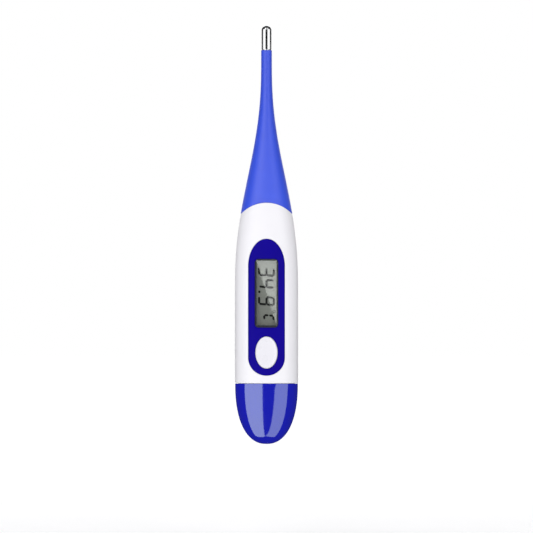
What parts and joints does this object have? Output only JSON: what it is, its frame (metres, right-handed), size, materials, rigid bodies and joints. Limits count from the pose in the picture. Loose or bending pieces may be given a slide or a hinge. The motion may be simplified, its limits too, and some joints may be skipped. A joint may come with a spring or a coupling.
{
  "type": "digital thermometer",
  "caption": "Slim digital clinical thermometer with a flexible probe, metal tip, display window, oval power button and pull-off battery cover.",
  "frame": {"origin": "tail end of the battery cover, on the long axis", "axes": "+X across the handle to the right of the display, +Y out of the flat back (the display faces -Y), +Z along the probe towards the metal tip"},
  "size_m": [0.02, 0.011, 0.132],
  "materials": {
    "white_shell": "satin",
    "bezel_blue": "gloss",
    "cover_blue": "gloss",
    "sleeve_blue": "satin",
    "button_white": "gloss",
    "clear_acrylic": "gloss",
    "black_adhesive": "matt",
    "silicone": "satin",
    "seal_black": "satin",
    "frame_abs": "matt",
    "board_green": "satin",
    "epoxy_black": "gloss",
    "part_ceramic": "matt",
    "spring_steel": "brushed",
    "polariser": "satin",
    "lcd_glass": "gloss",
    "crystal_dark": "matt",
    "reflector_grey": "satin",
    "zebra_rubber": "matt",
    "buzzer_brass": "satin",
    "piezo_ceramic": "matt",
    "foam": "matt",
    "wire_sheath": "satin",
    "cell_steel": "brushed",
    "cell_paste": "matt",
    "cell_gasket": "satin",
    "contact_gilt": "satin",
    "liner_abs": "matt",
    "tip_steel": "polished",
    "bead_glass": "gloss",
    "potting_resin": "gloss",
    "lead_sheath": "satin"
  },
  "bodies": {
    "handle": {"handle_shell": "white_shell", "display_bezel": "bezel_blue", "display_lens": "clear_acrylic", "lens_gasket": "black_adhesive", "button_seal": "silicone", "cover_seal": "seal_black", "inner_frame": "frame_abs", "circuit_board": "board_green", "processor_blob": "epoxy_black", "surface_mount_parts": "part_ceramic", "snap_dome": "spring_steel", "front_polariser": "polariser", "lcd_front_glass": "lcd_glass", "lcd_segments": "crystal_dark", "lcd_rear_glass": "lcd_glass", "lcd_reflector": "reflector_grey", "zebra_strip": "zebra_rubber", "buzzer_plate": "buzzer_brass", "buzzer_ceramic": "piezo_ceramic", "buzzer_foam_ring": "foam", "buzzer_wires": "wire_sheath", "positive_contact": "contact_gilt", "negative_contact": "contact_gilt", "sleeve_anchor": "liner_abs", "sleeve_base": "sleeve_blue", "sensor_leads": "lead_sheath"},
    "button": {"power_button": "button_white"},
    "cover": {"battery_cover": "cover_blue"},
    "cell": {"battery_can": "cell_steel", "battery_pellet": "cell_paste", "battery_gasket": "cell_gasket", "battery_lid": "cell_steel"},
    "segment_01": {"flex_ring_01": "sleeve_blue"},
    "segment_02": {"flex_ring_02": "sleeve_blue"},
    "segment_03": {"flex_ring_03": "sleeve_blue"},
    "segment_04": {"flex_ring_04": "sleeve_blue"},
    "segment_05": {"flex_ring_05": "sleeve_blue"},
    "segment_06": {"flex_ring_06": "sleeve_blue"},
    "segment_07": {"flex_ring_07": "sleeve_blue"},
    "segment_08": {"flex_ring_08": "sleeve_blue"},
    "segment_09": {"flex_ring_09": "sleeve_blue"},
    "segment_10": {"flex_ring_10": "sleeve_blue"},
    "segment_11": {"flex_ring_11": "sleeve_blue"},
    "segment_12": {"flex_ring_12": "sleeve_blue"},
    "segment_13": {"flex_ring_13": "sleeve_blue"},
    "probe_end": {"sleeve_end": "sleeve_blue", "sensor_cap": "tip_steel", "thermistor_bead": "bead_glass", "sensor_potting": "potting_resin"}
  },
  "joints": [
    {"name": "button_press", "type": "slide", "parent": "handle", "child": "button", "axis": [0, 1, 0], "range_m": [0, 0.0004], "stiffness_N_per_m": 20, "deforming": ["snap_dome", "button_seal"]},
    {"name": "cover_pull", "type": "slide", "parent": "handle", "child": "cover", "axis": [0, 0, -1], "range_m": [0, 0.026], "stiffness_N_per_m": 60},
    {"name": "cell_slide", "type": "slide", "parent": "handle", "child": "cell", "axis": [0, 0, -1], "range_m": [0, 0.0105]},
    {"name": "side_bend_1", "type": "hinge", "parent": "handle", "child": "segment_01", "pos_m": [0, 0, 0.092], "axis": [0, 1, 0], "range_deg": [-3, 3]},
    {"name": "front_bend_1", "type": "hinge", "parent": "segment_01", "child": "segment_02", "pos_m": [0, 0, 0.0955], "axis": [1, 0, 0], "range_deg": [-4, 4]},
    {"name": "side_bend_2", "type": "hinge", "parent": "segment_02", "child": "segment_03", "pos_m": [0, 0, 0.099], "axis": [0, 1, 0], "range_deg": [-5.5, 5.5]},
    {"name": "front_bend_2", "type": "hinge", "parent": "segment_03", "child": "segment_04", "pos_m": [0, 0, 0.1017], "axis": [1, 0, 0], "range_deg": [-9, 9]},
    {"name": "side_bend", "type": "hinge", "parent": "segment_04", "child": "segment_05", "pos_m": [0, 0, 0.1044], "axis": [0, 1, 0], "range_deg": [-12, 12], "stiffness_Nm_per_rad": 0.002, "deforming": ["sensor_leads"]},
    {"name": "front_bend", "type": "hinge", "parent": "segment_05", "child": "segment_06", "pos_m": [0, 0, 0.1064], "axis": [1, 0, 0], "range_deg": [-15, 15], "stiffness_Nm_per_rad": 0.002, "deforming": ["sensor_leads"]},
    {"name": "side_bend_4", "type": "hinge", "parent": "segment_06", "child": "segment_07", "pos_m": [0, 0, 0.1084], "axis": [0, 1, 0], "range_deg": [-17, 17]},
    {"name": "front_bend_4", "type": "hinge", "parent": "segment_07", "child": "segment_08", "pos_m": [0, 0, 0.1104], "axis": [1, 0, 0], "range_deg": [-17, 17]},
    {"name": "side_bend_5", "type": "hinge", "parent": "segment_08", "child": "segment_09", "pos_m": [0, 0, 0.1124], "axis": [0, 1, 0], "range_deg": [-17.5, 17.5]},
    {"name": "front_bend_5", "type": "hinge", "parent": "segment_09", "child": "segment_10", "pos_m": [0, 0, 0.1144], "axis": [1, 0, 0], "range_deg": [-17.5, 17.5]},
    {"name": "side_bend_6", "type": "hinge", "parent": "segment_10", "child": "segment_11", "pos_m": [0, 0, 0.1164], "axis": [0, 1, 0], "range_deg": [-17.5, 17.5]},
    {"name": "front_bend_6", "type": "hinge", "parent": "segment_11", "child": "segment_12", "pos_m": [0, 0, 0.1184], "axis": [1, 0, 0], "range_deg": [-17.5, 17.5]},
    {"name": "side_bend_7", "type": "hinge", "parent": "segment_12", "child": "segment_13", "pos_m": [0, 0, 0.1204], "axis": [0, 1, 0], "range_deg": [-17.5, 17.5]},
    {"name": "front_bend_7", "type": "hinge", "parent": "segment_13", "child": "probe_end", "pos_m": [0, 0, 0.1224], "axis": [1, 0, 0], "range_deg": [-10, 10]}
  ],
  "couplings": [
    {"joint": "cell_slide", "follows": "cover_pull", "ratio": 0.4},
    {"joint": "side_bend_1", "follows": "side_bend", "ratio": 0.25},
    {"joint": "front_bend_1", "follows": "front_bend", "ratio": 0.26667},
    {"joint": "side_bend_2", "follows": "side_bend", "ratio": 0.45833},
    {"joint": "front_bend_2", "follows": "front_bend", "ratio": 0.6},
    {"joint": "side_bend_4", "follows": "side_bend", "ratio": 1.4167},
    {"joint": "front_bend_4", "follows": "front_bend", "ratio": 1.1333},
    {"joint": "side_bend_5", "follows": "side_bend", "ratio": 1.4583},
    {"joint": "front_bend_5", "follows": "front_bend", "ratio": 1.1667},
    {"joint": "side_bend_6", "follows": "side_bend", "ratio": 1.4583},
    {"joint": "front_bend_6", "follows": "front_bend", "ratio": 1.1667},
    {"joint": "side_bend_7", "follows": "side_bend", "ratio": 1.4583},
    {"joint": "front_bend_7", "follows": "front_bend", "ratio": 0.66667}
  ]
}
